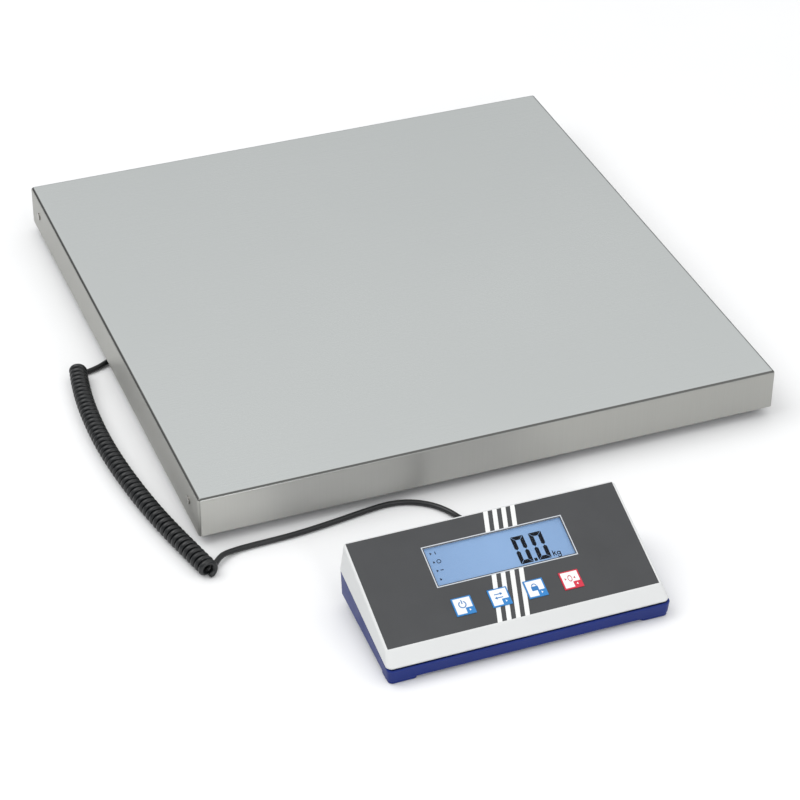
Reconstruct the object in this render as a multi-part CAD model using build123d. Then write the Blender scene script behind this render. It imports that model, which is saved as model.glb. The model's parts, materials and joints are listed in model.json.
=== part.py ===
from build123d import *
import os
from math import atan2, cos, degrees, pi, radians, tan

# Platform scale with a display unit on a curly lead. Millimetres, +Z up, floor at Z = 0.
# The origin is on the floor, midway between the platform's back and the display's front.

# ---- platform ----
PLATFORM = 550.0            # side of the square platform
PLATFORM_Y = 113.0          # centre of the platform along Y
PLATE_TOP = 49.0            # height of the weighing surface
COVER_T = 1.5               # stainless sheet
SKIRT_BOTTOM = 10.0         # gap between the skirt and the floor
COVER_CORNER_R = 2.5
COVER_BEND_R = 3.0
COVER_SCREW_INSET = 28.0    # side screws, from the platform's corners
COVER_SCREW_Z = 30.0
COVER_SCREW_R = 2.1

RAIL_W = 30.0               # frame tube width, height and wall
RAIL_H = 18.0
RAIL_WALL = 2.0
FRAME_HALF = 268.0          # half the outer size of the square frame
FRAME_TOP = PLATE_TOP - COVER_T
FRAME_BOTTOM = FRAME_TOP - RAIL_H
CROSS_Y = 89.0              # cross-members, either side of the middle

CELL = (110.0, 25.0, 12.0)  # load cell length, width and height
CELL_BOTTOM = 14.0
FOOT_INSET = 246.0          # feet from the platform's centre, both ways
CELL_END = 12.0             # from a foot's axis to the outer end of its cell
CELL_SCREWS = (88.0, 70.0)  # from the foot's axis to the two cell screws
FLEXURE = (9.0, 4.2, 2.4)   # flexure holes: half spacing, radius, slot height
FLEXURE_OFFSET = 8.0        # their middle, outwards from the cell's
SCREW_R = 3.0               # M6
STUD_R = 4.0                # M8 levelling stud
STUD_TOP = 24.5
RUNNING = 0.05              # radial running clearance
NUT_H = 4.0
PAD_R = 15.0
SOLE_H = 2.5
CAP_TOP = 4.5
COLLAR_TOP = 7.6

BOX_X = (-222.0, -156.0)    # junction box under the frame's left bay
BOX_HALF_Y = 45.0
BOX_Z = (8.0, 27.5)
BOX_WALL = 2.2
BRACKET_T = 2.0
CELL_GLAND_Z = 16.0
CELL_GLAND_Y = 22.0         # cable glands on the box's right wall
CELL_GLAND_X = -196.0       # cable glands on its end walls
GLAND_BORE_R = 3.5
LEAD_BORE_R = 3.8
CELL_CABLE_R = 2.0
CLIP_X = (-50.0, 40.0)      # cable clips along the end rails
CLIP_Z = 24.0
BOARD_T = 1.6

# ---- display unit, in its own frame: X from its middle, Y from its front edge ----
DISPLAY_X = -63.0
DISPLAY_Y = -388.0
DISPLAY_W = 252.3           # at the joint between the two housings
DISPLAY_D = 115.0
JOINT_FRONT_Z = 13.3        # the joint rises towards the back
JOINT_BACK_Z = 36.7
FOIL = (241.3, 104.0, 0.5)  # front foil width, length up the slope, thickness
FOIL_FRONT = (15.05, 25.8)  # Y and Z of the foil's lower edge
FOIL_BACK = (112.95, 61.0)
RIM = 2.0                   # housing left round the foil
WALL = 2.2                  # housing wall
BASE_FRONT_Z = 2.8          # the underside rises towards the back too
BASE_BACK_Z = 12.0
BASE_INSET = 1.2            # draft of the lower housing
LCD = (124.5, 38.5)
LCD_AT = (1.8, 12.2)        # centre of the window on the foil, from the foil's centre
KEY = 17.5                  # square keys
KEY_PITCH = 32.0
KEY_U = 1.5                 # middle of the key row
KEY_V = -29.7
KEY_PROUD = 0.5
KEY_GAP = 0.15
WINDOW_T = 1.6
GLASS_BACK = 4.8            # back of the read-out glass below the foil
BOARD_DEPTH = 10.5          # main board below the foil
# chips on the main board: place across and up, size across and up, thickness
CHIPS = ((-40, 10, 14, 14, 1.6), (20, 14, 10, 18, 2.2), (-20, -6, 12, 8, 4), (-78, 6, 9, 9, 3))
AA_R = 7.25
AA_L = 50.5
DOOR = (64.0, 56.0, 2.0)    # battery door width, length, thickness
BAY_X = 58.0                # middle of the battery bay
POST_X = 112.0              # housing screw posts
POST_Y = (26.0, 84.0)
POST_R = 4.0
HEAD_BORE_R = 3.2
SCREW_HOLE_R = 1.5
EDGE_R = 1.2                # rounding of the housings' outer rims
# feet, front then back: X and Y of the middle, half the boss each way, height of the rubber pad
FEET = ((111.6, 11.4, 12.6, 9.6, 0.8), (105.5, 101.0, 10.0, 9.0, 3.0))
PAD_FOOT_R = 7.5
DISPLAY_GLAND = (13.0, 25.0)  # X and Z of the lead's gland on the back wall
GLAND_NECK_R = 4.4
JACK = (-60.0, 24.0)        # X and Z of the power inlet on the back wall
JACK_R = 4.2
JACK_BORE_R = 2.85

# ---- lead ----
CORD_R = 2.5
COIL_R = 8.5                # outer radius of the curly stretch
GLAND_Y = 130.0             # where the lead leaves the junction box, along Y
GLAND_Z = 14.0
HEAD_ROUTE = [(-236, 130, 14), (-247, 130, 14), (-259, 130.4, 8.6), (-272, 128.8, 3.4),
              (-285, 122.2, 2.6), (-299, 112.5, 2.6)]
COIL_ROUTE = [(-304, 118, 8.6), (-308.6, 95, 8.6), (-312.6, 60, 8.6), (-314.2, 22, 8.6),
              (-313.2, -16, 8.6), (-310, -54, 8.6), (-305, -92, 8.6), (-298.6, -128, 8.6),
              (-290.4, -164, 8.6), (-279.8, -206, 8.6)]
TAIL_ROUTE = [(-276, -199, 8.5), (-266.5, -188.5, 6.2), (-252, -181.5, 3.2), (-230, -179.6, 2.6),
              (-196, -178.8, 2.6), (-158, -174.2, 2.6), (-126, -168.9, 2.6), (-103, -166.4, 2.6),
              (-84, -170.4, 2.6), (-68, -181, 2.6), (-57.5, -195, 2.6), (-52.8, -208, 3.2),
              (-50.8, -221, 8.2), (-50.2, -233.5, 18.5), (-50, -248, 25), (-50, -262, 25)]

SIDES = (-1, 1)


# ---- helpers ----
def block(x0, x1, y0, y1, z0, z1):
    """A box between its low and high sides."""
    return Pos((x0 + x1) / 2, (y0 + y1) / 2, (z0 + z1) / 2) * Box(x1 - x0, y1 - y0, z1 - z0)


def rod(x, y, z0, z1, r):
    """An upright cylinder."""
    return Pos(x, y, (z0 + z1) / 2) * Cylinder(r, z1 - z0)


def rod_x(x0, x1, y, z, r):
    """A cylinder along X."""
    return Pos((x0 + x1) / 2, y, z) * Rot(0, 90, 0) * Cylinder(r, x1 - x0)


def rod_y(x, y0, y1, z, r):
    """A cylinder along Y."""
    return Pos(x, (y0 + y1) / 2, z) * Rot(90, 0, 0) * Cylinder(r, y1 - y0)


def hexagon(x, y, z0, z1, flats):
    """An upright hexagonal bar, given across its flats."""
    outline = Plane(origin=(x, y, z0)) * RegularPolygon(flats / 2, 6, major_radius=False)
    return extrude(outline, z1 - z0)


def group(pieces):
    """Separate solids kept as one node."""
    return Compound(children=list(pieces))


def corner_radii(points):
    """Arc radius at each corner: 0.45 of the shorter run over the tangent of half the turn."""
    runs = [Vector(*b) - Vector(*a) for a, b in zip(points, points[1:])]
    return [0.45 * min(a.length, b.length) / tan(radians(a.get_angle(b) / 2)) for a, b in zip(runs, runs[1:])]


def tube_along(points, radii, r, name):
    """A round tube along straight runs joined by tangent arcs."""
    path = FilletPolyline(*points, radius=radii)
    tube = sweep(Plane(origin=path @ 0, z_dir=path % 0) * Circle(r), path)
    print(f"{name}: length {path.length:.1f}, volume / (section x length) "
          f"{tube.volume / (pi * r * r * path.length):.4f}, "
          f"radii {[round(value, 1) for value in radii]}")
    return tube


# ---- platform pieces, drawn about the platform's own middle and moved by on_platform ----
def on_platform(shape):
    return Pos(0, PLATFORM_Y, 0) * shape


def cover_shell(inset, top):
    half = PLATFORM / 2 - inset
    solid = block(-half, half, -half, half, SKIRT_BOTTOM, top)
    solid = fillet(solid.edges().filter_by(Axis.Z), COVER_CORNER_R - inset)
    return fillet(solid.faces().sort_by(Axis.Z)[-1].edges(), COVER_BEND_R - inset)


def cover():
    pan = cover_shell(0, PLATE_TOP) - cover_shell(COVER_T, PLATE_TOP - COVER_T)
    at = PLATFORM / 2 - COVER_SCREW_INSET
    for sx in SIDES:
        for sy in SIDES:
            low, high = sorted((sx * (PLATFORM / 2 - 5), sx * (PLATFORM / 2 + 5)))
            pan -= rod_x(low, high, sy * at, COVER_SCREW_Z, COVER_SCREW_R + 0.1)
    return pan


def cover_screws():
    """Side screws that hold the cover to the side rails."""
    at = PLATFORM / 2 - COVER_SCREW_INSET
    screws = []
    for sx in SIDES:
        for sy in SIDES:
            outer = PLATFORM / 2
            low, high = sorted((sx * outer, sx * (outer + 1.2)))
            head = rod_x(low, high, sy * at, COVER_SCREW_Z, 3.6)
            low, high = sorted((sx * outer, sx * FRAME_HALF))
            screws.append(head + rod_x(low, high, sy * at, COVER_SCREW_Z, COVER_SCREW_R))
    return group(screws)


def frame_tube(low_x, high_x, low_y, high_y, along_x):
    """A rectangular frame tube, open at its ends."""
    outer = block(low_x, high_x, low_y, high_y, FRAME_BOTTOM, FRAME_TOP)
    keep_x = 0 if along_x else RAIL_WALL
    keep_y = RAIL_WALL if along_x else 0
    return outer - block(low_x + keep_x, high_x - keep_x, low_y + keep_y, high_y - keep_y,
                         FRAME_BOTTOM + RAIL_WALL, FRAME_TOP - RAIL_WALL)


def screw_bore(x, y):
    """Clearance for an M6 screw through whatever lies under the frame at this place."""
    return rod(x, y, 0, FRAME_BOTTOM + 1, SCREW_R + RUNNING)


def side_rail(side):
    low, high = sorted((side * (FRAME_HALF - RAIL_W), side * FRAME_HALF))
    return frame_tube(low, high, -FRAME_HALF, FRAME_HALF, False)


def end_rail(side):
    low, high = sorted((side * (FRAME_HALF - RAIL_W), side * FRAME_HALF))
    inner = FRAME_HALF - RAIL_W
    return frame_tube(-inner, inner, low, high, True)


def cross_member(side):
    inner = FRAME_HALF - RAIL_W
    return frame_tube(-inner, inner, side * CROSS_Y - RAIL_W / 2, side * CROSS_Y + RAIL_W / 2, True)


def load_cell(sx, sy):
    """Aluminium bending-beam cell with its two joined flexure holes."""
    length, width, height = CELL
    half_gap, hole_r, slot_h = FLEXURE
    y = sy * FOOT_INSET
    z = CELL_BOTTOM + height / 2
    mid = FOOT_INSET + CELL_END - length / 2
    beam = Pos(sx * mid, y, z) * Box(length, width, height)
    beam = chamfer(beam.edges().filter_by(Axis.X), 0.8)
    hole_x = sx * (mid + FLEXURE_OFFSET)
    for side in SIDES:
        beam -= rod_y(hole_x + side * half_gap, y - width, y + width, z, hole_r)
    beam -= Pos(hole_x, y, z) * Box(2 * half_gap, 2 * width, slot_h)
    beam -= rod(sx * FOOT_INSET, y, 0, STUD_TOP + 10, STUD_R + RUNNING)
    for reach in CELL_SCREWS:
        beam -= screw_bore(sx * (FOOT_INSET - reach), y)
    return beam


def cell_spacers():
    """Tapped packing plates, welded under the end rails, for the fixed ends of the cells."""
    plates = []
    for sx in SIDES:
        for sy in SIDES:
            low, high = sorted((sx * (FOOT_INSET + CELL_END - CELL[0]), sx * (FOOT_INSET - 60)))
            plate = block(low, high, sy * FOOT_INSET - CELL[1] / 2, sy * FOOT_INSET + CELL[1] / 2,
                          CELL_BOTTOM + CELL[2], FRAME_BOTTOM)
            for reach in CELL_SCREWS:
                plate -= screw_bore(sx * (FOOT_INSET - reach), sy * FOOT_INSET)
            plates.append(plate)
    return group(plates)


def cell_screws():
    """Socket-head screws, up through each cell into its packing plate."""
    screws = []
    low = CELL_BOTTOM - 5
    for sx in SIDES:
        for sy in SIDES:
            for reach in CELL_SCREWS:
                x = sx * (FOOT_INSET - reach)
                y = sy * FOOT_INSET
                head = rod(x, y, low, CELL_BOTTOM, 5.0) - hexagon(x, y, low, low + 3, 5)
                screws.append(head + rod(x, y, CELL_BOTTOM, FRAME_BOTTOM - 0.3, SCREW_R))
    return group(screws)


def foot_nuts():
    """Lock nuts under the cells."""
    nuts = []
    for sx in SIDES:
        for sy in SIDES:
            nut = hexagon(sx * FOOT_INSET, sy * FOOT_INSET, CELL_BOTTOM - NUT_H, CELL_BOTTOM, 13)
            nuts.append(nut - rod(sx * FOOT_INSET, sy * FOOT_INSET, 0, 30, STUD_R + RUNNING))
    return group(nuts)


def foot_sole(sx, sy):
    sole = rod(sx * FOOT_INSET, sy * FOOT_INSET, 0, SOLE_H, PAD_R)
    return fillet(sole.edges().sort_by(Axis.Z)[0], 0.8)


def foot_cap(sx, sy):
    """Moulded cap over the sole, with the socket that the stud's pin turns in."""
    cap = Pos(sx * FOOT_INSET, sy * FOOT_INSET, (SOLE_H + CAP_TOP) / 2) * Cone(PAD_R - 1, 9, CAP_TOP - SOLE_H)
    return cap - rod(sx * FOOT_INSET, sy * FOOT_INSET, SOLE_H, CAP_TOP, 3 + RUNNING)


def foot_stud(sx, sy):
    """Levelling stud: a pin in the cap, a hexagonal collar and the M8 shank."""
    x = sx * FOOT_INSET
    y = sy * FOOT_INSET
    stud = rod(x, y, SOLE_H + 0.1, CAP_TOP + 0.1, 3.0) + hexagon(x, y, CAP_TOP + 0.1, COLLAR_TOP, 13)
    shank = rod(x, y, COLLAR_TOP, STUD_TOP, STUD_R)
    return stud + chamfer(shank.edges().sort_by(Axis.Z)[-1], 0.8)


# ---- junction box ----
def junction_bracket():
    """Sheet bracket, welded under the left side rail, that carries the junction box."""
    return block(-FRAME_HALF + 2, BOX_X[1], -BOX_HALF_Y, BOX_HALF_Y, FRAME_BOTTOM - BRACKET_T, FRAME_BOTTOM)


def junction_box():
    low, high = BOX_X
    shell = block(low, high, -BOX_HALF_Y, BOX_HALF_Y, BOX_Z[0] + 2, BOX_Z[1])
    shell = fillet(shell.edges().filter_by(Axis.Z), 4)
    inner = block(low + BOX_WALL, high - BOX_WALL, -BOX_HALF_Y + BOX_WALL, BOX_HALF_Y - BOX_WALL,
                  BOX_Z[0], BOX_Z[1] - BOX_WALL)
    shell -= fillet(inner.edges().filter_by(Axis.Z), 2)
    for x, y in box_corners():
        shell += rod(x, y, BOX_Z[0] + 2, BOX_Z[1] - BOX_WALL, 3.4)
        shell -= rod(x, y, BOX_Z[0] + 2, BOX_Z[0] + 12, 1.5)
    shell -= rod_x(low - 1, low + 4, GLAND_Y - PLATFORM_Y, GLAND_Z, LEAD_BORE_R)
    for x, y, along_x in cell_gland_places():
        if along_x:
            shell -= rod_x(high - 4, high + 1, y, CELL_GLAND_Z, GLAND_BORE_R)
        else:
            shell -= rod_y(x, y - 4, y + 4, CELL_GLAND_Z, GLAND_BORE_R)
    return shell


def box_corners():
    return [(x, y) for x in (BOX_X[0] + 6, BOX_X[1] - 6) for y in (-BOX_HALF_Y + 6, BOX_HALF_Y - 6)]


def cell_gland_places():
    """Where the four load-cell cables enter: two on the right wall, one on each end wall."""
    places = [(BOX_X[1], side * CELL_GLAND_Y, True) for side in SIDES]
    return places + [(CELL_GLAND_X, side * BOX_HALF_Y, False) for side in SIDES]


def junction_lid():
    low, high = BOX_X
    lid = block(low, high, -BOX_HALF_Y, BOX_HALF_Y, BOX_Z[0], BOX_Z[0] + 2)
    lid = fillet(lid.edges().filter_by(Axis.Z), 4)
    for x, y in box_corners():
        lid -= rod(x, y, 0, 20, 1.6)
    return lid


def junction_screws():
    """The four screws of the lid."""
    low = BOX_Z[0]
    return group(rod(x, y, low - 1.6, low, 2.8) + rod(x, y, low, low + 10, 1.5) for x, y in box_corners())


def summing_board():
    """Board that adds the four cell signals, with its trimmers and terminal blocks."""
    board = block(BOX_X[0] + 12, BOX_X[1] - 12, -30, 30, 20, 20 + BOARD_T)
    for y in (-20, -7, 7, 20):
        board += block(-196, -190, y - 4, y + 4, 16.5, 20)
    return board + block(-206, -199, -24, 24, 14, 20)


def cell_glands():
    """Screwed cable glands of the junction box, bored for their cables."""
    glands = []
    z = CELL_GLAND_Z
    for x, y, along_x in cell_gland_places():
        if along_x:
            body = rod_x(x, x + 3, y, z, 5.2) + rod_x(x + 3, x + 9, y, z, 4.4)
            body += rod_x(x - 3, x, y, z, GLAND_BORE_R)
            glands.append(body - rod_x(x - 5, x + 12, y, z, CELL_CABLE_R))
        else:
            way = 1 if y > 0 else -1
            a, b, c, d = (y - 3 * way, y, y + 3 * way, y + 9 * way)
            body = rod_y(x, min(b, c), max(b, c), z, 5.2) + rod_y(x, min(c, d), max(c, d), z, 4.4)
            body += rod_y(x, min(a, b), max(a, b), z, GLAND_BORE_R)
            glands.append(body - rod_y(x, min(a, d) - 2, max(a, d) + 2, z, CELL_CABLE_R))
    return group(glands)


def cell_cable(sx, sy):
    """Cable from the fixed end of a cell to the junction box, under the frame."""
    y = sy * FOOT_INSET
    points = [(sx * (FOOT_INSET + CELL_END - CELL[0]), y, CELL_BOTTOM + CELL[2] / 2)]
    if sx > 0:
        points += [(110, y, 20), (70, y, CLIP_Z), (-92, y, CLIP_Z), (-120, sy * 218, CLIP_Z),
                   (-120, sy * 62, 22), (-128, sy * CELL_GLAND_Y, CELL_GLAND_Z),
                   (BOX_X[1] - 3, sy * CELL_GLAND_Y, CELL_GLAND_Z)]
        radii = [60, 60, 30, 30, 60, 20]
    else:
        points += [(-120, y, 20), (-104, sy * 228, 20.5), (-104, sy * 170, 22), (-150, sy * 120, 20),
                   (CELL_GLAND_X, sy * 90, CELL_GLAND_Z), (CELL_GLAND_X, sy * (BOX_HALF_Y - 3), CELL_GLAND_Z)]
        radii = [14, 14, 40, 60, 20]
    return tube_along(points, radii, CELL_CABLE_R, f"cell cable {sx} {sy}")


def cable_clips():
    """Saddle clips that hold the cell cables up to the frame."""
    clips = []
    for sy in SIDES:
        y = sy * FOOT_INSET
        for x in CLIP_X:
            saddle = block(x - 4, x + 4, y - 5, y + 5, CLIP_Z - 3.4, FRAME_BOTTOM)
            clips.append(saddle - rod_x(x - 6, x + 6, y, CLIP_Z, CELL_CABLE_R + RUNNING))
    return group(clips)


def platform_gland():
    """Gland and strain relief where the lead leaves the junction box."""
    x = BOX_X[0]
    y = GLAND_Y - PLATFORM_Y
    z = GLAND_Z
    body = rod_x(x - 4, x, y, z, 5.6) + rod_x(x - 10, x - 4, y, z, 4.8) + rod_x(x, x + 5, y, z, LEAD_BORE_R)
    relief = Pos(x - 12, y, z) * Rot(0, -90, 0) * Cone(4.4, 3.2, 4)
    return body + relief


# ---- display pieces, drawn in the display's frame and moved by on_display ----
def on_display(shape):
    return Pos(DISPLAY_X, DISPLAY_Y, 0) * shape


def slope(front_z, back_z):
    return degrees(atan2(back_z - front_z, DISPLAY_D))


FOIL_ANGLE = degrees(atan2(FOIL_BACK[1] - FOIL_FRONT[1], FOIL_BACK[0] - FOIL_FRONT[0]))
FOIL_CENTRE = (0, (FOIL_FRONT[0] + FOIL_BACK[0]) / 2, (FOIL_FRONT[1] + FOIL_BACK[1]) / 2)
FACE = Location(FOIL_CENTRE, (FOIL_ANGLE, 0, 0))
JOINT_MIDDLE = (0, DISPLAY_D / 2, (JOINT_FRONT_Z + JOINT_BACK_Z) / 2)
BASE_MIDDLE = (0, DISPLAY_D / 2, (BASE_FRONT_Z + BASE_BACK_Z) / 2)
JOINT = Location(JOINT_MIDDLE, (slope(JOINT_FRONT_Z, JOINT_BACK_Z), 0, 0))
BASE = Location(BASE_MIDDLE, (slope(BASE_FRONT_Z, BASE_BACK_Z), 0, 0))


def joint_length():
    return DISPLAY_D / cos(radians(slope(JOINT_FRONT_Z, JOINT_BACK_Z)))


def base_length():
    return (DISPLAY_D - 2 * BASE_INSET) / cos(radians(slope(BASE_FRONT_Z, BASE_BACK_Z)))


def rounded(place, width, length, r, lift=0.0):
    return place * Pos(0, 0, lift) * RectangleRounded(width, length, r)


def upper_form(inset, drop, below):
    """Outer or inner form of the upper housing, between the joint and the sloping face."""
    low = rounded(JOINT, DISPLAY_W - 2 * inset, joint_length() - 2 * inset, 5 - inset, -below)
    high = rounded(FACE, FOIL[0] + 2 * (RIM - inset), FOIL[1] + 2 * (RIM - inset), 4.5 - inset, -drop)
    return loft([low, high], ruled=True)


def lower_form(inset, lift, above):
    """Outer or inner form of the lower housing, between its underside and the joint."""
    low = rounded(BASE, DISPLAY_W - 2 * (BASE_INSET + inset), base_length() - 2 * inset, 5 - inset, lift)
    high = rounded(JOINT, DISPLAY_W - 0.8 - 2 * inset, joint_length() - 0.8 - 2 * inset, 5 - inset, above)
    return loft([low, high], ruled=True)


def key_places():
    return [KEY_U + (index - 1.5) * KEY_PITCH for index in range(4)]


def on_face(u, v, w0, w1, du, dv):
    """A block on the sloping face, from w0 to w1 above it."""
    return FACE * Pos(u, v, (w0 + w1) / 2) * Box(du, dv, w1 - w0)


def face_windows(top):
    """Cutters for the read-out and the keys, down to just under the housing wall."""
    cutters = [on_face(LCD_AT[0], LCD_AT[1], -5, top, LCD[0], LCD[1])]
    return cutters + [on_face(u, KEY_V, -5, top, KEY, KEY) for u in key_places()]


def upper_housing():
    outer = upper_form(0, 0, 0)
    outer = fillet(outer.faces().sort_by(Axis.Z)[-1].edges(), EDGE_R)
    shell = outer - upper_form(WALL, WALL, 0.01)
    shell -= on_face(0, 0, -FOIL[2], 1, FOIL[0], FOIL[1])
    for cutter in face_windows(1):
        shell -= cutter
    for x, y in post_places():
        post = rod(x, y, joint_z(y), joint_z(y) + 30, POST_R) - rod(x, y, 0, joint_z(y) + 9, SCREW_HOLE_R)
        shell += post & upper_form(WALL / 2, WALL / 2, 0)
    return shell


def joint_z(y):
    return JOINT_FRONT_Z + (JOINT_BACK_Z - JOINT_FRONT_Z) * y / DISPLAY_D


def base_z(y):
    return BASE_FRONT_Z + (BASE_BACK_Z - BASE_FRONT_Z) * y / DISPLAY_D


def post_places():
    return [(sx * POST_X, y) for sx in SIDES for y in POST_Y]


def foot_places():
    """X, Y, half the boss each way and pad height for each of the four feet."""
    return [(sx * x, y, half_x, half_y, top) for sx in SIDES for x, y, half_x, half_y, top in FEET]


def on_base(x, v, w0, w1, du, dv):
    """A block on the sloping underside, v up the slope from its middle, w above it."""
    return BASE * Pos(x, v, (w0 + w1) / 2) * Box(du, dv, w1 - w0)


def door_middle():
    """Middle of the closed battery door along the underside."""
    return base_length() / 2 - DOOR[1] / 2


def foot_boss(x, y, half_x, half_y, top):
    """Moulded boss from a foot's pad up into the floor of the housing."""
    boss = block(x - half_x, x + half_x, y - half_y, y + half_y, top, base_z(y) + 1.6)
    return fillet(boss.edges().filter_by(Axis.Z), 4)


def battery_walls():
    """Side and end walls of the battery bay, with the rails that guide the door."""
    bay = door_middle()
    walls = [on_base(BAY_X, bay - DOOR[1] / 2 - 1.2, 0.5, 14, DOOR[0] + 4, 2)]
    for sx in SIDES:
        walls.append(on_base(BAY_X + sx * (DOOR[0] / 2 + 1.2), bay - 0.5, 0.5, 14, 2, DOOR[1] - 3))
        walls.append(on_base(BAY_X + sx * (DOOR[0] / 2 - 1), bay - 0.5, DOOR[2] + 0.3, 4, 3, DOOR[1] - 3))
    return walls


def lower_housing():
    outer = lower_form(0, 0, 0)
    outer = fillet(outer.faces().sort_by(Axis.Z)[0].edges(), EDGE_R)
    shell = outer - lower_form(WALL, WALL, 0.01)
    for place in foot_places():
        shell += foot_boss(*place)
    inside = lower_form(WALL / 2, WALL / 2, 0)
    for x, y in post_places():
        shell += rod(x, y, 0, joint_z(y) - 1, POST_R) & inside
        shell -= rod(x, y, 0, joint_z(y), SCREW_HOLE_R + 0.1) + rod(x, y, 0, base_z(y) + 2.5, HEAD_BORE_R)
    for wall in battery_walls():
        shell += wall
    shell -= on_base(BAY_X, door_middle() + 5, -1, DOOR[2] + 0.25, DOOR[0] + 0.5, DOOR[1] + 10.5)
    shell -= rod_y(DISPLAY_GLAND[0], DISPLAY_D - 8, DISPLAY_D + 4, DISPLAY_GLAND[1], GLAND_NECK_R)
    return shell - rod_y(JACK[0], DISPLAY_D - 8, DISPLAY_D + 4, JACK[1], JACK_R)


def display_feet():
    """Rubber pads under the bosses: thin in front, thick behind."""
    feet = []
    for x, y, _, _, top in foot_places():
        pad = rod(x, y, 0, top, PAD_FOOT_R)
        feet.append(fillet(pad.edges().sort_by(Axis.Z)[0], 0.4))
    return group(feet)


def face_foil():
    foil = on_face(0, 0, -FOIL[2], 0, FOIL[0], FOIL[1])
    for cutter in face_windows(1):
        foil -= cutter
    return foil


def behind_window(w0, w1, less):
    """A block in line with the read-out window, smaller than it by less."""
    return on_face(LCD_AT[0], LCD_AT[1], w0, w1, LCD[0] - less, LCD[1] - less)


def lcd_window():
    return behind_window(-WINDOW_T, 0, 0)


def lcd_glass():
    return behind_window(-GLASS_BACK, -WINDOW_T - 0.1, 0.6)


def lcd_backlight():
    return behind_window(-BOARD_DEPTH, -GLASS_BACK, 0.6)


def lcd_frame():
    """Bezel that clamps the glass to the board."""
    return behind_window(-BOARD_DEPTH, -WALL - 0.05, -5) - behind_window(-BOARD_DEPTH - 1, 0, 0.4)


def main_board():
    """Board under the foil, with its chips on the lower side."""
    low = -BOARD_DEPTH - BOARD_T
    board = on_face(0, -1, low, -BOARD_DEPTH, 190, 74)
    for u, v, du, dv, thick in CHIPS:
        board += on_face(u, v, low - thick, low, du, dv)
    return board


def key_switches():
    """Tactile switches under the keys."""
    switches = []
    for u in key_places():
        base = on_face(u, KEY_V, -BOARD_DEPTH, -7.7, 6, 6)
        switches.append(base + FACE * Pos(u, KEY_V, -7.35) * Cylinder(1.7, 0.7))
    return group(switches)


def key(u):
    """Push key: a cap in the foil's window, a flange under the housing and a stem."""
    size = KEY - 2 * KEY_GAP
    cap = on_face(u, KEY_V, -WALL - 0.1, KEY_PROUD, size, size)
    cap = chamfer(cap.faces().sort_by(Axis.Z)[-1].edges(), 0.3)
    flange = on_face(u, KEY_V, -WALL - 0.9, -WALL - 0.1, size + 2, size + 2)
    stem = on_face(u, KEY_V, -6.5, -WALL - 0.9, 5, 5)
    return cap + flange + stem


def battery_door():
    plate = on_base(BAY_X, door_middle(), 0, DOOR[2], DOOR[0], DOOR[1] - 0.3)
    for index in range(4):
        plate -= on_base(BAY_X, door_middle() + 12 + index * 3, -1, 0.6, 20, 1.2)
    return plate


def battery_places():
    return [BAY_X + (index - 1.5) * 15.2 for index in range(4)]


def batteries():
    """Four round cells with their raised positive ends, laid head to tail."""
    cells = []
    middle = door_middle() - 0.5
    height = 2.8 + AA_R
    for index, x in enumerate(battery_places()):
        way = 1 if index % 2 else -1
        body = BASE * Pos(x, middle, height) * Rot(90, 0, 0) * Cylinder(AA_R, AA_L - 1.5)
        knob = BASE * Pos(x, middle + way * AA_L / 2, height) * Rot(90, 0, 0) * Cylinder(2.7, 1.5)
        cells.append(body + knob)
    return group(cells)


def battery_contacts():
    """Spring plates at the inner ends of the battery bay."""
    plates = []
    for x in battery_places():
        plates.append(on_base(x, door_middle() - DOOR[1] / 2 + 0.1, 4, 13, 9, 0.6))
    return group(plates)


def housing_screws():
    screws = []
    for x, y in post_places():
        seat = base_z(y) + 2.5
        screws.append(rod(x, y, seat - 2, seat, 2.9) + rod(x, y, seat, joint_z(y) + 8, SCREW_HOLE_R))
    return group(screws)


def display_gland():
    """Strain relief where the lead enters the back of the display."""
    x, z = DISPLAY_GLAND
    body = rod_y(x, DISPLAY_D - 5, DISPLAY_D + 0.5, z, GLAND_NECK_R)
    body += rod_y(x, DISPLAY_D + 0.5, DISPLAY_D + 3, z, 5.6)
    relief = Pos(x, DISPLAY_D + 7, z) * Rot(-90, 0, 0) * Cone(4.6, 3.2, 8)
    return body + relief


def power_inlet():
    """Round low-voltage inlet with its centre pin."""
    x, z = JACK
    body = block(x - 7, x + 7, DISPLAY_D - 18, DISPLAY_D - 4, z - 6, z + 6)
    body += rod_y(x, DISPLAY_D - 4, DISPLAY_D + 0.4, z, JACK_R)
    body -= rod_y(x, DISPLAY_D - 12, DISPLAY_D + 2, z, JACK_BORE_R)
    return body + rod_y(x, DISPLAY_D - 14, DISPLAY_D - 2, z, 1.0)


# ---- the lead ----
def lead(points, name):
    return tube_along(points, corner_radii(points), CORD_R, name)


def coil():
    """The curly stretch, as one round tube of its outer size."""
    return tube_along(COIL_ROUTE, corner_radii(COIL_ROUTE), COIL_R, "coil")


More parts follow.
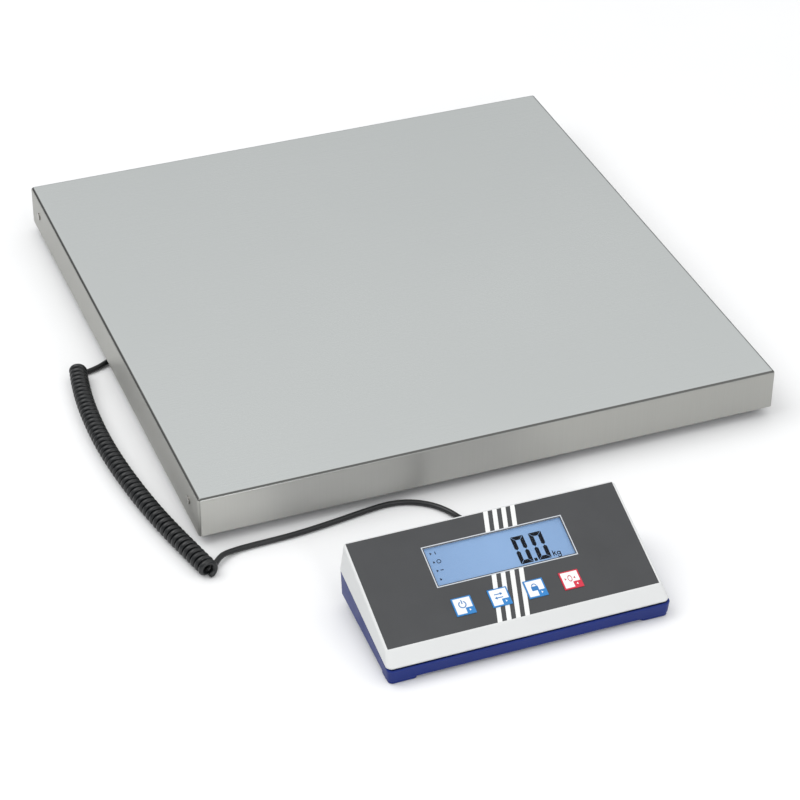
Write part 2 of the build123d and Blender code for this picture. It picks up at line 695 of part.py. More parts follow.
# ---- the whole ----
def platform_nodes():
    nodes = {
        "cover": cover(),
        "cover_screws": cover_screws(),
        "side_rail_left": side_rail(-1),
        "side_rail_right": side_rail(1),
        "end_rail_front": end_rail(-1),
        "end_rail_back": end_rail(1),
        "cross_member_front": cross_member(-1),
        "cross_member_back": cross_member(1),
        "cell_spacers": cell_spacers(),
        "cell_screws": cell_screws(),
        "foot_nuts": foot_nuts(),
        "junction_bracket": junction_bracket(),
        "junction_box": junction_box(),
        "junction_lid": junction_lid(),
        "junction_screws": junction_screws(),
        "summing_board": summing_board(),
        "cell_glands": cell_glands(),
        "cable_clips": cable_clips(),
        "cell_cables": group(cell_cable(sx, sy) for sx in SIDES for sy in SIDES),
        "platform_gland": platform_gland(),
    }
    for side_x, sx in (("left", -1), ("right", 1)):
        for side_y, sy in (("front", -1), ("back", 1)):
            place = f"{side_y}_{side_x}"
            nodes[f"load_cell_{place}"] = load_cell(sx, sy)
            nodes[f"foot_sole_{place}"] = foot_sole(sx, sy)
            nodes[f"foot_cap_{place}"] = foot_cap(sx, sy)
            nodes[f"foot_stud_{place}"] = foot_stud(sx, sy)
    return nodes


def display_nodes():
    nodes = {
        "upper_housing": upper_housing(),
        "lower_housing": lower_housing(),
        "display_feet": display_feet(),
        "face_foil": face_foil(),
        "lcd_window": lcd_window(),
        "lcd_frame": lcd_frame(),
        "lcd_glass": lcd_glass(),
        "lcd_backlight": lcd_backlight(),
        "main_board": main_board(),
        "key_switches": key_switches(),
        "battery_door": battery_door(),
        "batteries": batteries(),
        "battery_contacts": battery_contacts(),
        "housing_screws": housing_screws(),
        "display_gland": display_gland(),
        "power_inlet": power_inlet(),
    }
    for name, u in zip(("power", "units", "hold", "zero"), key_places()):
        nodes[f"key_{name}"] = key(u)
    return nodes


parts = {name: on_platform(shape) for name, shape in platform_nodes().items()}
parts.update({name: on_display(shape) for name, shape in display_nodes().items()})
parts["lead_to_platform"] = lead(HEAD_ROUTE, "lead to platform")
parts["lead_coil"] = coil()
parts["lead_to_display"] = lead(TAIL_ROUTE, "lead to display")

os.makedirs("parts", exist_ok=True)
for name, shape in parts.items():
    export_step(shape, f"parts/{name}.step")
print(len(parts), "nodes")
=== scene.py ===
import json
from math import cos, pi, radians, sin

import bmesh
import bpy
from mathutils import Matrix, Vector


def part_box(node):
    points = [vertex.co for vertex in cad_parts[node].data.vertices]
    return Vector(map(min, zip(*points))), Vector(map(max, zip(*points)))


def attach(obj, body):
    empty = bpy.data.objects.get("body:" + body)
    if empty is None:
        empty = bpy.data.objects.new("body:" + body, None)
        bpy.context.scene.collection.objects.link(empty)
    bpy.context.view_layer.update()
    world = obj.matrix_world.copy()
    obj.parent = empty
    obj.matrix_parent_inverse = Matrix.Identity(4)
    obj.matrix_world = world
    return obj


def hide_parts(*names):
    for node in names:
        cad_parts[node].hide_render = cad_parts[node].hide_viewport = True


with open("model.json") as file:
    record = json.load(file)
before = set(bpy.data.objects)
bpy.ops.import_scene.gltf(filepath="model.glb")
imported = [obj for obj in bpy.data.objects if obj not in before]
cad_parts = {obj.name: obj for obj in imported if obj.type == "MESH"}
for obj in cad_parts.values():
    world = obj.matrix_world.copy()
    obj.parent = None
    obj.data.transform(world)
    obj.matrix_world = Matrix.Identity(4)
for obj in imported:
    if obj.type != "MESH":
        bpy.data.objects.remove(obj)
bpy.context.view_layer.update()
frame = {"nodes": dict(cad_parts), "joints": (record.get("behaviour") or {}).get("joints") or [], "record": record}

# A platform scale with its display unit on a curly lead. Metres, +Z up, floor at Z = 0.
MM = 0.001

# ---- camera's place and turn ----
CAMERA_AT = (-0.7766, -1.8876, 1.4329)
CAMERA_AZIMUTH = 21.64      # degrees, from +Y towards +X
CAMERA_DROP = 35.51         # degrees below level
CAMERA_ROLL = 0.70          # degrees
CAMERA_LENS = 120.1         # mm on a sensor 36 mm wide

# ---- lead: control points of its route in mm, the same as the CAD's ----
CORD_D = 5.0
COIL_OUTER = 17.0
COIL_TURNS = 52
HEAD_ROUTE = [(-236, 130, 14), (-247, 130, 14), (-259, 130.4, 8.6), (-272, 128.8, 3.4),
              (-285, 122.2, 2.6), (-299, 112.5, 2.6)]
COIL_ROUTE = [(-304, 118, 8.6), (-308.6, 95, 8.6), (-312.6, 60, 8.6), (-314.2, 22, 8.6),
              (-313.2, -16, 8.6), (-310, -54, 8.6), (-305, -92, 8.6), (-298.6, -128, 8.6),
              (-290.4, -164, 8.6), (-279.8, -206, 8.6)]
TAIL_ROUTE = [(-276, -199, 8.5), (-266.5, -188.5, 6.2), (-252, -181.5, 3.2), (-230, -179.6, 2.6),
              (-196, -178.8, 2.6), (-158, -174.2, 2.6), (-126, -168.9, 2.6), (-103, -166.4, 2.6),
              (-84, -170.4, 2.6), (-68, -181, 2.6), (-57.5, -195, 2.6), (-52.8, -208, 3.2),
              (-50.8, -221, 8.2), (-50.2, -233.5, 18.5), (-50, -248, 25), (-50, -262, 25)]


# ---- camera ----
def make_camera():
    """The photograph's view."""
    data = bpy.data.cameras.new("camera")
    data.lens = CAMERA_LENS
    data.sensor_width = 36
    data.clip_end = 50
    camera = bpy.data.objects.new("camera", data)
    turn = Matrix.Rotation(-radians(CAMERA_AZIMUTH), 4, "Z")
    tilt = Matrix.Rotation(radians(90 - CAMERA_DROP), 4, "X")
    roll = Matrix.Rotation(radians(CAMERA_ROLL), 4, "Z")
    camera.matrix_world = Matrix.Translation(CAMERA_AT) @ turn @ tilt @ roll
    bpy.context.scene.collection.objects.link(camera)
    bpy.context.scene.camera = camera


# ---- lead ----
def nurbs(name, points, depth=0.0):
    """An open NURBS curve through control points in millimetres, as a round tube if it has a depth."""
    curve = bpy.data.curves.new(name, "CURVE")
    curve.dimensions = "3D"
    spline = curve.splines.new("NURBS")
    spline.points.add(len(points) - 1)
    for point, place in zip(spline.points, points):
        point.co = (place[0] * MM, place[1] * MM, place[2] * MM, 1)
    spline.order_u = 3
    spline.use_endpoint_u = True
    spline.resolution_u = 4
    curve.bevel_depth = depth
    curve.bevel_resolution = 5
    curve.use_fill_caps = True
    made = bpy.data.objects.new(name, curve)
    bpy.context.scene.collection.objects.link(made)
    return made


def line_of(points):
    """Points along the NURBS curve of a route, in millimetres."""
    guide = nurbs("guide", points)
    guide.data.splines[0].resolution_u = 24
    bpy.context.view_layer.update()
    mesh = bpy.data.meshes.new_from_object(guide)
    line = [vertex.co / MM for vertex in mesh.vertices]
    bpy.data.meshes.remove(mesh)
    bpy.data.objects.remove(guide)
    return line


def place_on(line, distance):
    """Point and direction at a distance along a line."""
    for start, end in zip(line, line[1:]):
        step = (end - start).length
        if distance <= step and step > 0:
            return start + (end - start) * (distance / step), (end - start).normalized()
        distance -= step
    return line[-1], (line[-1] - line[-2]).normalized()


def line_length(line):
    return sum((end - start).length for start, end in zip(line, line[1:]))


def helix(points, turns, radius, per_turn=14):
    """Control points of a helix wound round a route; it starts and ends low, on the floor side."""
    line = line_of(points)
    total = line_length(line)
    count = turns * per_turn
    grow = 1 / cos(pi / per_turn)
    wound = []
    for index in range(count + 1):
        centre, along = place_on(line, total * index / count)
        across = along.cross(Vector((0, 0, 1))).normalized()
        up = across.cross(along)
        angle = 2 * pi * index / per_turn
        wound.append(centre + (across * sin(angle) - up * cos(angle)) * radius * grow)
    return wound


def make_lead():
    """The whole lead as one cord, in place of its three CAD nodes."""
    radius = (COIL_OUTER - CORD_D) / 2
    wound = helix(COIL_ROUTE, COIL_TURNS, radius)
    points = [Vector(p) for p in HEAD_ROUTE[:-1]] + wound + [Vector(p) for p in TAIL_ROUTE[1:]]
    lead = nurbs("curly_lead", points, CORD_D / 2 * MM)
    lead.data.materials.append(cord_material())
    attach(lead, "scale")
    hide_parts("lead_to_platform", "lead_coil", "lead_to_display")
    length = line_length(line_of(points)) * MM
    print("lead length", round(length, 3))
    return lead


# ---- materials ----
SKIRT_ROUGHER = 0.16                # added to the top's roughness on the skirts
SKIRT_PAINTED_SHADE = (0.47, 0.47, 0.445)  # painted shade: the skirts' colour, darker than the top because they catch less light
BEND_PAINTED_REFLECTION = (0.12, 0.12, 0.115)   # painted reflection: near-black colour on the folded edge, where the bend reflects dark surroundings


class Shader:
    """A Principled material and short ways to wire procedural detail into it."""

    def __init__(self, name, colour, roughness, metallic=0.0, **sockets):
        self.material = bpy.data.materials.new(name)
        self.material.use_nodes = True
        self.nodes = self.material.node_tree.nodes
        self.links = self.material.node_tree.links
        self.surface = self.nodes["Principled BSDF"]
        self.surface.inputs["Base Color"].default_value = (*colour, 1)
        self.surface.inputs["Roughness"].default_value = roughness
        self.surface.inputs["Metallic"].default_value = metallic
        for key, value in sockets.items():
            self.surface.inputs[key.replace("_", " ")].default_value = value
        self.place = self.nodes.new("ShaderNodeTexCoord").outputs["Object"]

    def stretched(self, scale, turn=(0, 0, 0)):
        node = self.nodes.new("ShaderNodeMapping")
        node.inputs["Scale"].default_value = scale
        node.inputs["Rotation"].default_value = turn
        self.links.new(self.place, node.inputs["Vector"])
        return node.outputs["Vector"]

    def noise(self, scale, detail=3.0, vector=None, rough=0.55):
        node = self.nodes.new("ShaderNodeTexNoise")
        node.inputs["Scale"].default_value = scale
        node.inputs["Detail"].default_value = detail
        node.inputs["Roughness"].default_value = rough
        self.links.new(vector or self.place, node.inputs["Vector"])
        return node.outputs["Fac"]

    def ranged(self, value, low, high, start=0.3, end=0.7):
        node = self.nodes.new("ShaderNodeMapRange")
        node.inputs["From Min"].default_value = start
        node.inputs["From Max"].default_value = end
        node.inputs["To Min"].default_value = low
        node.inputs["To Max"].default_value = high
        self.links.new(value, node.inputs["Value"])
        return node.outputs["Result"]

    def math(self, kind, a, b=0.0, c=None):
        node = self.nodes.new("ShaderNodeMath")
        node.operation = kind
        for socket, value in zip(node.inputs, (a, b, c)):
            if value is None:
                continue
            if isinstance(value, (int, float)):
                socket.default_value = value
            else:
                self.links.new(value, socket)
        return node.outputs["Value"]

    def mixed(self, fraction, low, high):
        node = self.nodes.new("ShaderNodeMix")
        node.data_type = "RGBA"
        self.links.new(fraction, node.inputs["Factor"])
        for socket, value in ((node.inputs["A"], low), (node.inputs["B"], high)):
            if isinstance(value, tuple):
                socket.default_value = (*value, 1)
            else:
                self.links.new(value, socket)
        return node.outputs["Result"]

    def colour(self, value):
        self.links.new(value, self.surface.inputs["Base Color"])

    def roughness(self, value):
        self.links.new(value, self.surface.inputs["Roughness"])

    def bump(self, height, distance, strength=1.0):
        node = self.nodes.new("ShaderNodeBump")
        node.inputs["Distance"].default_value = distance
        node.inputs["Strength"].default_value = strength
        self.links.new(height, node.inputs["Height"])
        self.links.new(node.outputs["Normal"], self.surface.inputs["Normal"])


def shade(colour, factor):
    return tuple(min(1.0, value * factor) for value in colour)


def cord_material():
    """Smooth black jacket of the lead."""
    s = Shader("cord_black", (0.005, 0.006, 0.007), 0.34)
    s.roughness(s.ranged(s.noise(60), 0.28, 0.42))
    s.bump(s.noise(2600, 2), 0.00004, 0.4)
    s.colour(s.mixed(s.ranged(s.noise(25), 0, 1), (0.004, 0.005, 0.006), (0.009, 0.010, 0.011)))
    return s.material


def plastic(name, colour, roughness=0.42, texture=900, depth=0.00003, vary=0.05, **sockets):
    """Moulded plastic with a fine spark-eroded texture and slight tone changes."""
    s = Shader(name, colour, roughness, **sockets)
    s.bump(s.noise(texture, 2), depth, 0.5)
    s.roughness(s.ranged(s.noise(45), roughness - 0.05, roughness + 0.06))
    s.colour(s.mixed(s.ranged(s.noise(14), 0, 1), shade(colour, 1 - vary), shade(colour, 1 + vary)))
    return s.material


def brushed_steel(name, colour=(0.58, 0.605, 0.60), roughness=0.30):
    """Stainless sheet, ground along the top and up the skirts, with soft cloudy marks; painted shade darkens the
    skirts and a painted dark reflection lines the bend.
    """
    s = Shader(name, colour, roughness, 1.0)
    split = s.nodes.new("ShaderNodeSeparateXYZ")
    s.links.new(s.nodes.new("ShaderNodeNewGeometry").outputs["Normal"], split.inputs[0])
    skirt = s.math("LESS_THAN", split.outputs["Z"], 0.5)
    top_grain = s.noise(1, 3, s.stretched((7, 3000, 3000)))
    skirt_grain = s.noise(1, 3, s.stretched((2200, 2200, 12)))
    grain = s.math("MULTIPLY_ADD", s.math("SUBTRACT", skirt_grain, top_grain), skirt, top_grain)
    cloud = s.noise(3.2, 3)
    base = s.math("MULTIPLY_ADD", skirt, SKIRT_ROUGHER, roughness)
    grainy = s.math("ADD", s.ranged(grain, -0.05, 0.05), s.ranged(cloud, -0.02, 0.03))
    s.roughness(s.math("ADD", base, grainy))
    s.links.new(s.math("MULTIPLY", skirt, 0.85), s.surface.inputs["Anisotropic"])
    s.surface.inputs["Anisotropic Rotation"].default_value = 0.25
    around = s.nodes.new("ShaderNodeTangent")
    around.direction_type = "RADIAL"
    around.axis = "Z"
    s.links.new(around.outputs["Tangent"], s.surface.inputs["Tangent"])
    s.bump(grain, 0.000006, 0.3)
    tone = s.mixed(s.ranged(grain, 0, 1, 0.25, 0.75), shade(colour, 0.975), shade(colour, 1.015))
    # Painted reflection: the band round the bend, between skirt and top, is masked for a near-black colour
    # standing in for the dark surroundings it reflects.
    above_skirt = s.ranged(split.outputs["Z"], 0, 1, 0.45, 0.60)
    below_top = s.ranged(split.outputs["Z"], 1, 0, 0.93, 0.99)
    bend = s.math("MULTIPLY", above_skirt, below_top)
    # Painted shade on the skirts and a painted reflection on the bend, laid into the base colour.
    s.colour(s.mixed(bend, s.mixed(skirt, tone, SKIRT_PAINTED_SHADE), BEND_PAINTED_REFLECTION))
    return s.material


def painted(name, colour, roughness=0.4):
    """Powder coat with orange peel and random tone changes."""
    s = Shader(name, colour, roughness)
    s.bump(s.noise(520, 2), 0.00006, 0.5)
    s.roughness(s.ranged(s.noise(30), roughness - 0.05, roughness + 0.08))
    s.colour(s.mixed(s.ranged(s.noise(9), 0, 1), shade(colour, 0.85), shade(colour, 1.15)))
    return s.material


def metal(name, colour, roughness=0.3):
    """Plated or machined metal with fine tool marks."""
    s = Shader(name, colour, roughness, 1.0)
    marks = s.noise(1, 2, s.stretched((400, 400, 1500)))
    s.roughness(s.ranged(marks, roughness - 0.07, roughness + 0.1))
    s.bump(marks, 0.00002, 0.4)
    s.colour(s.mixed(s.ranged(s.noise(60), 0, 1), shade(colour, 0.9), shade(colour, 1.05)))
    return s.material


def rubber(name, colour=(0.02, 0.02, 0.02)):
    """Matt rubber with a fine grain."""
    s = Shader(name, colour, 0.75)
    s.bump(s.noise(1400, 2), 0.00005, 0.6)
    s.roughness(s.ranged(s.noise(80), 0.65, 0.85))
    s.colour(s.mixed(s.ranged(s.noise(40), 0, 1), shade(colour, 0.8), shade(colour, 1.5)))
    return s.material


# ---- the sloping face of the display, found from the frame ----
FOIL_T = 0.5 * MM


def face_frame():
    """Matrix whose X runs right, Y up the slope and Z out of the face, from the foil's centre."""
    axis = next(j["axis"] for j in frame["joints"] if j["name"] == "key_power_press")
    normal = -Vector(axis).normalized()
    low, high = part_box("face_foil")
    up = normal.cross(Vector((1, 0, 0)))
    back = Vector(((low.x + high.x) / 2, high.y + FOIL_T * normal.y, high.z))
    front = Vector(((low.x + high.x) / 2, low.y, low.z + FOIL_T * normal.z))
    centre = (back + front) / 2
    turn = Matrix(((1, 0, 0), tuple(up), tuple(normal))).transposed().to_4x4()
    return Matrix.Translation(centre) @ turn


# Sizes and places on the face are in mm, u to the right and v up the slope from its centre.
FACE = face_frame()
LCD_W = 124.5
LCD_H = 38.5
LCD_U = 1.8
LCD_V = 12.2
READOUT_LOW = -1.69         # just in front of the read-out's glass
PRINT_T = 0.06              # thickness of the read-out's ink
LETTER_STROKE = 0.8
KEY_TOP = 0.5               # how far the keys stand out of the foil
KEY_V = -29.7
LABEL_HALF = 7.35           # half the side of a key's white label
LABEL_T = 0.12
TAB_U = 6.4                 # coloured tab left in the label's lower right corner
TAB_V = 5.2
STRIPES = 4
DIGIT = (11.4, 27.0)        # width and height of a digit of the read-out
DIGIT_STROKE = 3.6
DIGIT_GAP = 0.25
STRIPE_W = 4.07
STRIPE_LEAN = 0.257         # sideways travel per millimetre up the face
STRIPE_START = -11.3        # left edge of the first stripe at the middle of the face


def link(name, mesh, material, body):
    """A finished mesh as a piece of the object."""
    made = bpy.data.objects.new(name, mesh)
    bpy.context.scene.collection.objects.link(made)
    mesh.materials.append(material)
    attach(made, body)
    return made


def prism(mesh, outline, w0, w1, edge=0.0):
    """Adds a closed prism over an outline in face millimetres, its upper rim bevelled by edge."""
    build = bmesh.new()
    base = build.faces.new([build.verts.new((u, v, w0)) for u, v in outline])
    top = bmesh.ops.extrude_face_region(build, geom=[base])
    moved = [item for item in top["geom"] if isinstance(item, bmesh.types.BMVert)]
    bmesh.ops.translate(build, verts=moved, vec=(0, 0, w1 - w0))
    if edge:
        rim = [e for e in build.edges if all(abs(v.co.z - w1) < 1e-6 for v in e.verts)]
        bmesh.ops.bevel(build, geom=rim, offset=edge, segments=2, affect="EDGES", profile=0.5)
    bmesh.ops.recalc_face_normals(build, faces=build.faces)
    build.transform(Matrix.Scale(MM, 4))
    build.transform(FACE)
    build.from_mesh(mesh)
    build.to_mesh(mesh)
    build.free()


def face_piece(name, outlines, w0, w1, material, body, edge=0.0):
    """One piece made of one or more flat prisms on the sloping face."""
    mesh = bpy.data.meshes.new(name)
    for outline in outlines:
        prism(mesh, outline, w0, w1, edge)
    return link(name, mesh, material, body)


def rounded_box(u, v, width, height, r, steps=6):
    """Outline of a rectangle with round corners."""
    outline = []
    for corner, (sx, sy) in enumerate(((1, 1), (-1, 1), (-1, -1), (1, -1))):
        for step in range(steps + 1):
            angle = (corner + step / steps) * pi / 2
            centre = (u + sx * (width / 2 - r), v + sy * (height / 2 - r))
            outline.append((centre[0] + r * cos(angle), centre[1] + r * sin(angle)))
    return outline


def arc_band(u, v, r, width, start, end, squeeze=1.0, steps=28):
    """Outline of a round band between two angles in degrees."""
    angles = [radians(start + (end - start) * step / steps) for step in range(steps + 1)]
    outer = [(u + (r + width / 2) * cos(a) * squeeze, v + (r + width / 2) * sin(a)) for a in angles]
    inner = [(u + (r - width / 2) * cos(a) * squeeze, v + (r - width / 2) * sin(a)) for a in reversed(angles)]
    return outer + inner


def bar(u0, v0, u1, v1, width):
    """Outline of a straight stroke."""
    start = Vector((u0, v0))
    end = Vector((u1, v1))
    along = (end - start).normalized() * (width / 2)
    side = Vector((-along.y, along.x))
    return [tuple(corner) for corner in (start + side, start - side, end - side, end + side)]


def arrow_head(u, v, size, way):
    """Outline of a solid triangle; way is 1 to point right and -1 to point left."""
    return [(u + way * size, v), (u - way * size * 0.4, v + size), (u - way * size * 0.4, v - size)]


# ---- foil, window and read-out ----
def foil_material():
    """Dark printed foil with a band of equal pale stripes."""
    dark = (0.050, 0.052, 0.055)
    pale = (0.78, 0.79, 0.78)
    s = Shader("printed_foil", dark, 0.5, Specular_IOR_Level=0.4)
    origin = FACE.to_translation()
    up = FACE.to_3x3() @ Vector((0, 1, 0))
    split = s.nodes.new("ShaderNodeSeparateXYZ")
    s.links.new(s.place, split.inputs[0])
    rise_y = s.math("MULTIPLY", s.math("SUBTRACT", split.outputs["Y"], origin.y), up.y)
    rise_z = s.math("MULTIPLY", s.math("SUBTRACT", split.outputs["Z"], origin.z), up.z)
    rise = s.math("ADD", rise_y, rise_z)
    across = s.math("SUBTRACT", s.math("SUBTRACT", split.outputs["X"], origin.x), STRIPE_START * MM)
    across = s.math("SUBTRACT", across, s.math("MULTIPLY", rise, STRIPE_LEAN))
    count = s.math("DIVIDE", across, 2 * STRIPE_W * MM)
    inside = s.math("MULTIPLY", s.math("GREATER_THAN", count, 0), s.math("LESS_THAN", count, STRIPES - 0.25))
    stripe = s.math("MULTIPLY", inside, s.math("LESS_THAN", s.math("FRACT", count), 0.5))
    tone = s.mixed(s.ranged(s.noise(22), 0, 1), shade(dark, 0.93), shade(dark, 1.07))
    s.colour(s.mixed(stripe, tone, pale))
    s.roughness(s.ranged(s.noise(50), 0.44, 0.56))
    s.bump(s.noise(2400, 2), 0.00002, 0.5)
    return s.material


def window_material():
    """Clear acrylic, nearly see-through."""
    s = Shader("clear_window", (0.03, 0.035, 0.04), 0.06, Alpha=0.05)
    s.roughness(s.ranged(s.noise(30), 0.04, 0.09))
    s.bump(s.noise(40, 2), 0.00001, 0.2)
    return s.material


def lcd_material():
    """Back-lit panel, brighter in the middle than at its ends."""
    s = Shader("lcd_panel", (0.20, 0.31, 0.56), 0.25, Emission_Strength=0.42)
    split = s.nodes.new("ShaderNodeSeparateXYZ")
    s.links.new(s.place, split.inputs[0])
    off = s.math("ABSOLUTE", s.math("SUBTRACT", split.outputs["X"], FACE.to_translation().x + LCD_U * MM))
    glow = s.math("ADD", s.ranged(off, 1.0, 0.75, 0.0, 0.062), s.ranged(s.noise(30), -0.05, 0.05))
    tone = s.mixed(glow, (0.11, 0.19, 0.34), (0.19, 0.31, 0.51))
    s.colour(tone)
    s.links.new(tone, s.surface.inputs["Emission Color"])
    s.bump(s.noise(3000, 1), 0.00001, 0.2)
    return s.material


def zero_digit(u, v):
    """Outlines of the six lit bars of a nought; u and v are its lower left corner."""
    w, h = DIGIT
    t = DIGIT_STROKE
    g = DIGIT_GAP
    top = [(g, h), (w - g, h), (w - t - g, h - t), (t + g, h - t)]
    side = [(0, h - g), (t, h - t - g), (t, h / 2 + t / 2), (t / 2, h / 2 + g), (0, h / 2 + t / 2)]
    bars = [top, side]
    bars.append([(w - x, y) for x, y in side])
    bars += [[(x, h - y) for x, y in outline] for outline in bars]
    return [[(u + x, v + y) for x, y in outline] for outline in bars]


def unit_outlines():
    """Strokes of the unit kg."""
    stroke = LETTER_STROKE
    letter_k = [bar(45.4, -3.4, 45.4, 2.0, stroke), bar(45.6, -1.2, 47.7, 0.5, stroke),
                bar(46.4, -0.8, 47.9, -3.4, stroke)]
    letter_g = [arc_band(50.2, -1.4, 1.3, stroke, 0, 360), bar(51.6, 0.1, 51.6, -3.7, stroke),
                arc_band(50.2, -3.7, 1.4, stroke, 180, 360)]
    return letter_k + letter_g


def mark_outlines():
    """Four pointers down the left of the read-out, the upper three with a small sign."""
    pointers = [arrow_head(-55.0, v, 1.3, 1) for v in (25.5, 17.0, 8.5, 0.0)]
    signs = [bar(-50.8, 24.2, -50.8, 26.8, 0.7), arc_band(-50.5, 17.0, 1.7, 0.6, 0, 360),
             bar(-52.2, 8.5, -49.4, 8.5, 0.7)]
    return pointers + signs


def make_readout():
    """Digits, decimal point, unit and marks in front of the glass."""
    ink = plastic("lcd_ink", (0.004, 0.006, 0.012), 0.5, 1500, 0.00001, Specular_IOR_Level=0.1)
    point = rounded_box(29.2, -2.5, 2.7, 3.0, 0.5, 3)
    digits = zero_digit(15.4, -4.0) + zero_digit(31.6, -4.0) + [point]
    high = READOUT_LOW + PRINT_T
    for name, outlines in (("digits", digits), ("unit", unit_outlines()), ("marks", mark_outlines())):
        face_piece(f"readout_{name}", outlines, READOUT_LOW, high, ink, "scale")


def border_strips(inner, outer):
    """Four strokes round the window, between two distances outside its edge."""
    middle = (inner + outer) / 2
    width = outer - inner
    strips = []
    for side in (-1, 1):
        u = LCD_U + side * (LCD_W / 2 + middle)
        v = LCD_V + side * (LCD_H / 2 + middle)
        strips.append(bar(LCD_U - LCD_W / 2 - outer, v, LCD_U + LCD_W / 2 + outer, v, width))
        strips.append(bar(u, LCD_V - LCD_H / 2 - inner, u, LCD_V + LCD_H / 2 + inner, width))
    return strips


def make_window_border():
    """Thin raised line round the window, and a dark strip just inside it, painted as the shadow of the window's
    rim.
    """
    pale = plastic("border_silver", (0.55, 0.58, 0.62), 0.35, 1200, 0.00001)
    dark = plastic("window_rim_painted_shadow", (0.02, 0.025, 0.035), 0.5, 1200, 0.00001)
    face_piece("window_border", border_strips(0.0, 0.9), 0.0, 0.12, pale, "scale")
    # Painted shadow: a dark strip along the inside of the window's edge.
    face_piece("window_edge", border_strips(-0.7, 0.0), 0.0, 0.05, dark, "scale")


# ---- key prints ----
def key_icon(name, u, v):
    """Outlines of a plain symbol for a key, centred on u, v."""
    if name == "power":
        return [arc_band(u, v, 3.0, 0.9, 118, 422), bar(u, v + 0.6, u, v + 4.4, 0.9)]
    if name == "units":
        return [bar(u - 3.4, v + 1.6, u + 2.0, v + 1.6, 0.9), arrow_head(u + 2.4, v + 1.6, 1.5, 1),
                bar(u - 2.0, v - 1.8, u + 3.4, v - 1.8, 0.9), arrow_head(u - 2.4, v - 1.8, 1.5, -1)]
    if name == "hold":
        return [rounded_box(u, v - 1.4, 6.0, 4.2, 0.5, 3), arc_band(u, v + 0.9, 2.0, 0.8, 0, 180)]
    nought = arc_band(u, v, 2.7, 0.9, 0, 360, 0.62)
    return [nought, arrow_head(u - 4.2, v, 1.2, 1), arrow_head(u + 4.2, v, 1.2, -1)]


def make_key_prints():
    """White label, symbol and small second symbol on each key."""
    white = plastic("key_white", (0.82, 0.84, 0.85), 0.4, 1500, 0.00001)
    colours = {"key_red": (0.52, 0.02, 0.05), "key_blue": (0.02, 0.17, 0.45)}
    top = KEY_TOP + LABEL_T
    v = KEY_V
    for name in ("power", "units", "hold", "zero"):
        body = f"key_{name}"
        low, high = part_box(body)
        u = (FACE.inverted() @ ((low + high) / 2)).x / MM
        slot = "key_red" if name == "zero" else "key_blue"
        ink = plastic(f"print_{name}", colours[slot], 0.4, 1500, 0.00001)
        left, right = u - LABEL_HALF, u + LABEL_HALF
        low_v, high_v = v - LABEL_HALF, v + LABEL_HALF
        label = [(left, high_v), (left, low_v), (right - TAB_U, low_v), (right - TAB_U, low_v + TAB_V),
                 (right, low_v + TAB_V), (right, high_v)]
        face_piece(f"key_label_{name}", [label], KEY_TOP, top, white, body, 0.04)
        face_piece(f"key_symbol_{name}", key_icon(name, u - 0.6, v + 1.2), top, top + 0.04, ink, body)
        second = arrow_head(right - TAB_U / 2, low_v + TAB_V / 2, 1.1, -1 if name == "zero" else 1)
        face_piece(f"key_second_{name}", [second], KEY_TOP, KEY_TOP + 0.05, white, body)


# ---- strain reliefs ----
RELIEF_COLLAR = (5.6, 3.0)  # collar radius and length
RELIEF_TAPER = (4.3, 3.1)   # radius at the collar and at the tip
RELIEF_RIBS = 6
RIB_SHAPE = ((0.0, 0.0), (0.15, 0.35), (0.6, 0.35), (0.75, -0.3), (0.95, -0.3))


def relief_profile(length):
    """Distance and radius round the section of a ribbed strain relief, bored for the cord."""
    collar_r, collar_l = RELIEF_COLLAR
    wide, narrow = RELIEF_TAPER
    bore = CORD_D / 2 - 0.2
    profile = [(0.0, collar_r - 0.5), (0.5, collar_r), (collar_l - 0.5, collar_r), (collar_l, collar_r - 0.5)]
    for rib in range(RELIEF_RIBS):
        for part, lift in RIB_SHAPE:
            t = (rib + part) / RELIEF_RIBS
            distance = collar_l + 0.4 + t * (length - collar_l - 0.8)
            profile.append((distance, wide + (narrow - wide) * t + lift))
    return profile + [(length, narrow), (length, CORD_D / 2 + 0.05), (length - 1.5, bore), (0.0, bore)]


def ribbed_relief(name, node, start, along, length, sides=32):
    """Strain relief lathed along a direction from a wall, in place of its plain CAD solid."""
    build = bmesh.new()
    rings = []
    for distance, radius in relief_profile(length):
        angles = [2 * pi * k / sides for k in range(sides)]
        rings.append([build.verts.new((radius * cos(a), radius * sin(a), distance)) for a in angles])
    for first, second in zip(rings, rings[1:] + rings[:1]):
        for k in range(sides):
            after = (k + 1) % sides
            build.faces.new((first[k], first[after], second[after], second[k]))
    bmesh.ops.recalc_face_normals(build, faces=build.faces)
    turn = Vector((0, 0, 1)).rotation_difference(Vector(along)).to_matrix().to_4x4()
    build.transform(Matrix.Scale(MM, 4))
    build.transform(Matrix.Translation(Vector(start) * MM) @ turn)
    for face in build.faces:
        face.smooth = True
    mesh = bpy.data.meshes.new(name)
    build.to_mesh(mesh)
    build.free()
    made = link(name, mesh, rubber(f"{name}_rubber", (0.014, 0.015, 0.016)), "scale")
    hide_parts(node)


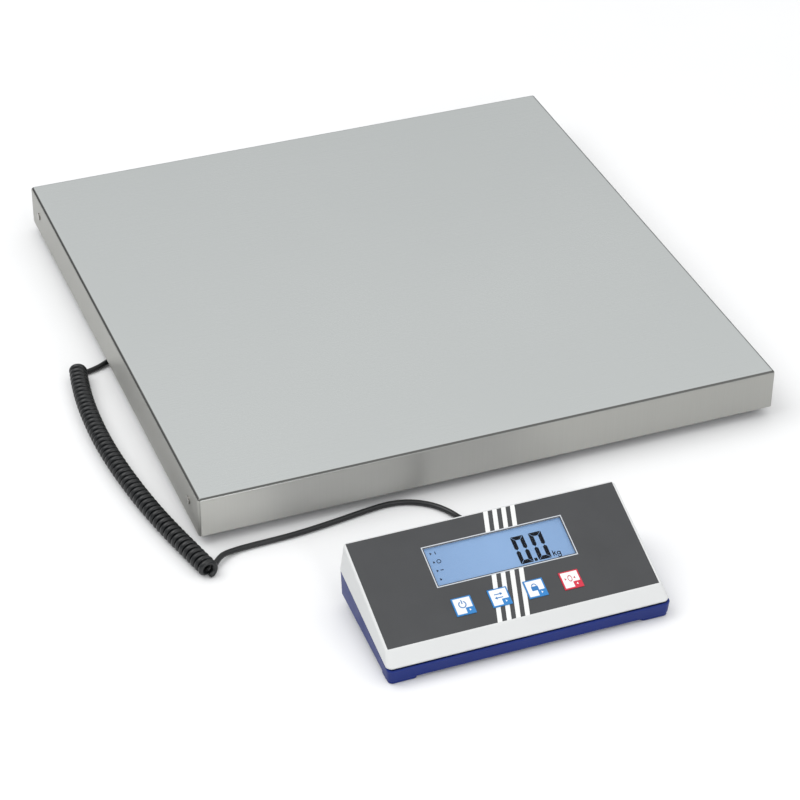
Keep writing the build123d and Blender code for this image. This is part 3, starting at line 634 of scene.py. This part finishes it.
# ---- slot materials for the CAD nodes ----
def slot_materials():
    return {
        "stainless_cover": brushed_steel("stainless_cover"),
        "frame_paint": painted("frame_paint", (0.045, 0.048, 0.052)),
        "plated_steel": metal("plated_steel", (0.42, 0.41, 0.39)),
        "cell_aluminium": metal("cell_aluminium", (0.78, 0.79, 0.80), 0.36),
        "black_plastic": plastic("black_plastic", (0.018, 0.018, 0.02), 0.5),
        "rubber": rubber("rubber_feet"),
        "grey_cable": rubber("grey_cable", (0.11, 0.11, 0.115)),
        "cord": cord_material(),
        "white_housing": plastic("white_housing", (0.65, 0.66, 0.66), 0.44, 1100, 0.00004, 0.015),
        "blue_housing": plastic("blue_housing", (0.003, 0.017, 0.155), 0.42, 1100, 0.00004, 0.06,
                                Specular_IOR_Level=0.3),
        "foil": foil_material(),
        "clear_window": window_material(),
        "lcd": lcd_material(),
        "backlight": plastic("backlight", (0.6, 0.7, 0.85), 0.5),
        "circuit_board": plastic("circuit_board", (0.01, 0.10, 0.03), 0.35, 300, 0.00005, 0.2),
        "key_blue": plastic("key_blue", (0.02, 0.20, 0.52), 0.38, 1200, 0.00001),
        "key_red": plastic("key_red", (0.60, 0.02, 0.05), 0.38, 1200, 0.00001),
        "battery_can": plastic("battery_can", (0.02, 0.022, 0.025), 0.3, 600, 0.00001, 0.3),
    }


def dress_nodes():
    """The material of its slot on every CAD node."""
    materials = slot_materials()
    for entry in frame["record"]["subparts"]:
        made = frame["nodes"][entry["node"]]
        if not made.material_slots:
            made.data.materials.append(None)
        for place in made.material_slots:
            place.material = materials[entry["material_slot"]]


# ---- stage ----
FLOOR_HALF = 6.0            # half the floor's side


def make_stage():
    """Plain pale floor at Z = 0, not attached to the object."""
    build = bmesh.new()
    bmesh.ops.create_grid(build, x_segments=1, y_segments=1, size=FLOOR_HALF)
    mesh = bpy.data.meshes.new("floor")
    build.to_mesh(mesh)
    build.free()
    floor = bpy.data.objects.new("floor", mesh)
    bpy.context.scene.collection.objects.link(floor)
    s = Shader("floor_pale", (0.86, 0.865, 0.87), 0.7)
    s.colour(s.mixed(s.ranged(s.noise(3), 0, 1), (0.86, 0.865, 0.87), (0.88, 0.885, 0.89)))
    mesh.materials.append(s.material)


def area_light(name, at, target, size, power, colour=(1, 1, 1)):
    data = bpy.data.lights.new(name, "AREA")
    data.shape = "RECTANGLE"
    data.size, data.size_y = size
    data.energy = power
    data.color = colour
    light = bpy.data.objects.new(name, data)
    light.location = at
    light.rotation_euler = (Vector(target) - Vector(at)).to_track_quat("-Z", "Y").to_euler()
    bpy.context.scene.collection.objects.link(light)


def sky_light():
    """Even overhead light that falls off to a dark band near the horizon."""
    world = bpy.data.worlds.new("studio")
    bpy.context.scene.world = world
    world.use_nodes = True
    nodes = world.node_tree.nodes
    links = world.node_tree.links
    background = nodes["Background"]
    place = nodes.new("ShaderNodeTexCoord")
    split = nodes.new("ShaderNodeSeparateXYZ")
    ramp = nodes.new("ShaderNodeValToRGB")
    links.new(place.outputs["Generated"], split.inputs[0])
    links.new(split.outputs["Z"], ramp.inputs["Fac"])
    links.new(ramp.outputs["Color"], background.inputs["Color"])
    stops = ramp.color_ramp.elements
    stops[0].position = 0.02
    stops[0].color = (0.16, 0.165, 0.17, 1)
    stops[1].position = 0.50
    stops[1].color = (1.0, 1.0, 1.0, 1)
    middle = stops.new(0.30)
    middle.color = (0.32, 0.33, 0.34, 1)
    background.inputs["Strength"].default_value = 1.0


def make_lights():
    """Large soft lights: one high on the left, one low in front and a weak one on the right."""
    sky_light()
    area_light("key_light", (-1.6, 0.6, 2.6), (0, 0, 0), (2.2, 2.2), 34)
    area_light("fill_light", (2.0, -1.6, 2.0), (0, 0, 0), (2.0, 2.0), 6)
    area_light("front_light", (0.0, -2.3, 0.9), (-0.3, -0.1, 0), (0.5, 1.6), 11)
    bpy.context.scene.view_settings.view_transform = "Standard"


make_camera()
make_lead()
dress_nodes()
make_readout()
make_window_border()
make_key_prints()
ribbed_relief("lead_relief_display", "display_gland", (-50, -273.4, 25), (0, 1, 0), 24)
ribbed_relief("lead_relief_platform", "platform_gland", (-222, 130, 14), (-1, 0, 0), 22)
make_stage()
make_lights()
